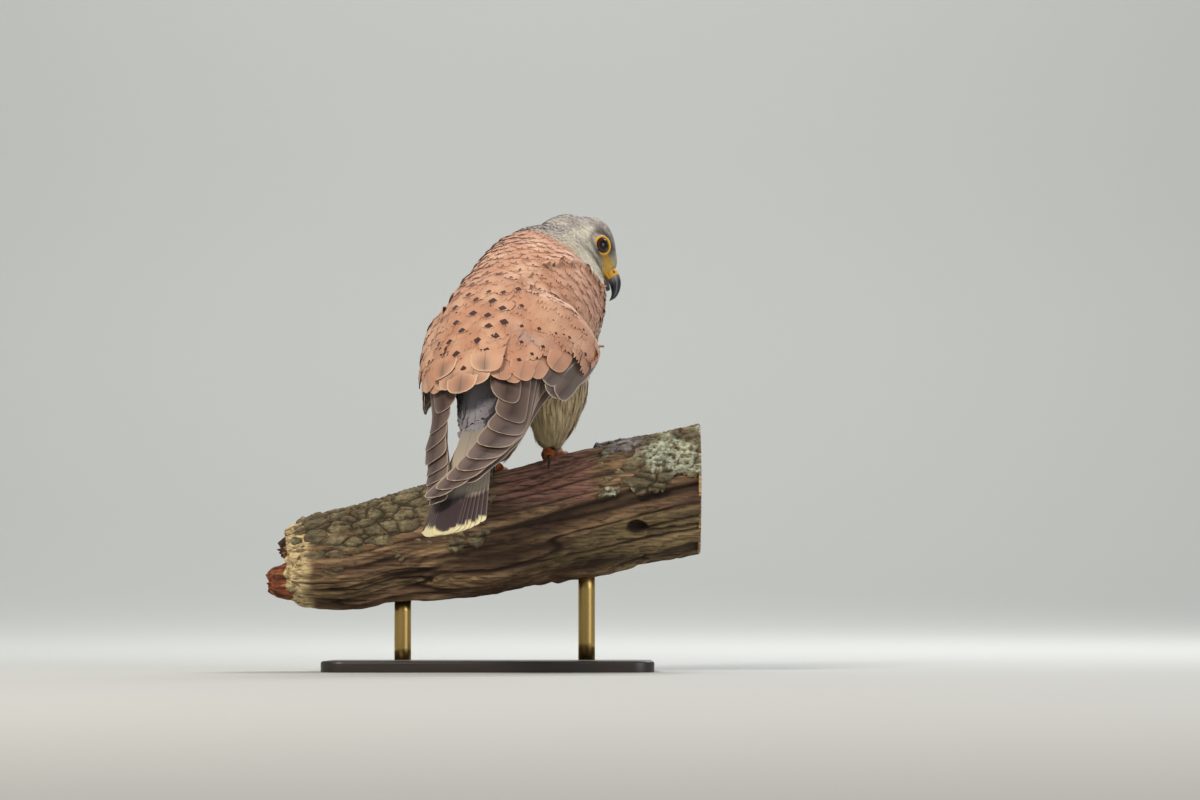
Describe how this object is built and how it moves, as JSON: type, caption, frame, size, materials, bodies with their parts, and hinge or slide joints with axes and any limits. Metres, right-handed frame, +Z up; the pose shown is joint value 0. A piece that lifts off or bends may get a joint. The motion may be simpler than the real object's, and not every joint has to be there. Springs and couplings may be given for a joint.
{
  "type": "common kestrel",
  "caption": "Adult male common kestrel as a still life-size museum model, gripping a short cut length of branch on a flat display stand, head turned down over its right shoulder.",
  "frame": {"origin": "middle of the underside of the display base, which stands on the floor", "axes": "+Z up; +X along the branch towards its cut end; +Y away from the viewer, the way the bird's back is turned from"},
  "size_m": [0.2587, 0.2328, 0.2834],
  "materials": {
    "chestnut_feather": "soft chestnut body feathers with dark brown diamond spots",
    "grey_feather": "soft grey head feathers with fine dark shafts",
    "flight_feather": "smooth dark brown vanes with pale buff edges",
    "tail_feather": "smooth grey-buff vanes with a black band and a cream tip",
    "buff_feather": "loose buff feathers of the legs",
    "eye": "wet, glossy, near-black brown",
    "yellow_skin": "waxy yellow bare skin",
    "bill_horn": "polished slate horn",
    "foot_skin": "scaly orange-brown skin",
    "claw_horn": "polished black horn",
    "weathered_wood": "rough split and weathered wood",
    "bark": "rough olive-brown bark with lichen",
    "stand_wood": "black stained wood, satin lacquer",
    "stand_metal": "brushed brass-toned rod"
  },
  "bodies": {
    "root": {"torso": "chestnut_feather", "neck": "chestnut_feather", "head": "grey_feather", "eye_left": "eye", "eye_right": "eye", "cere": "yellow_skin", "bill_upper": "bill_horn", "bill_lower": "bill_horn", "scapulars": "chestnut_feather", "wing_left_coverts": "chestnut_feather", "wing_left_secondaries": "flight_feather", "wing_left_primaries": "flight_feather", "wing_right_coverts": "chestnut_feather", "wing_right_secondaries": "flight_feather", "wing_right_primaries": "flight_feather", "tail": "tail_feather", "thigh_left": "buff_feather", "thigh_right": "buff_feather", "foot_left": "foot_skin", "foot_left_claw_back": "claw_horn", "foot_left_claw_inner": "claw_horn", "foot_left_claw_middle": "claw_horn", "foot_left_claw_outer": "claw_horn", "foot_right": "foot_skin", "foot_right_claw_back": "claw_horn", "foot_right_claw_inner": "claw_horn", "foot_right_claw_middle": "claw_horn", "foot_right_claw_outer": "claw_horn", "perch_wood": "weathered_wood", "perch_bark_left": "bark", "perch_bark_right": "bark", "stand_base": "stand_wood", "stand_rod_left": "stand_metal", "stand_rod_right": "stand_metal"}
  },
  "joints": []
}
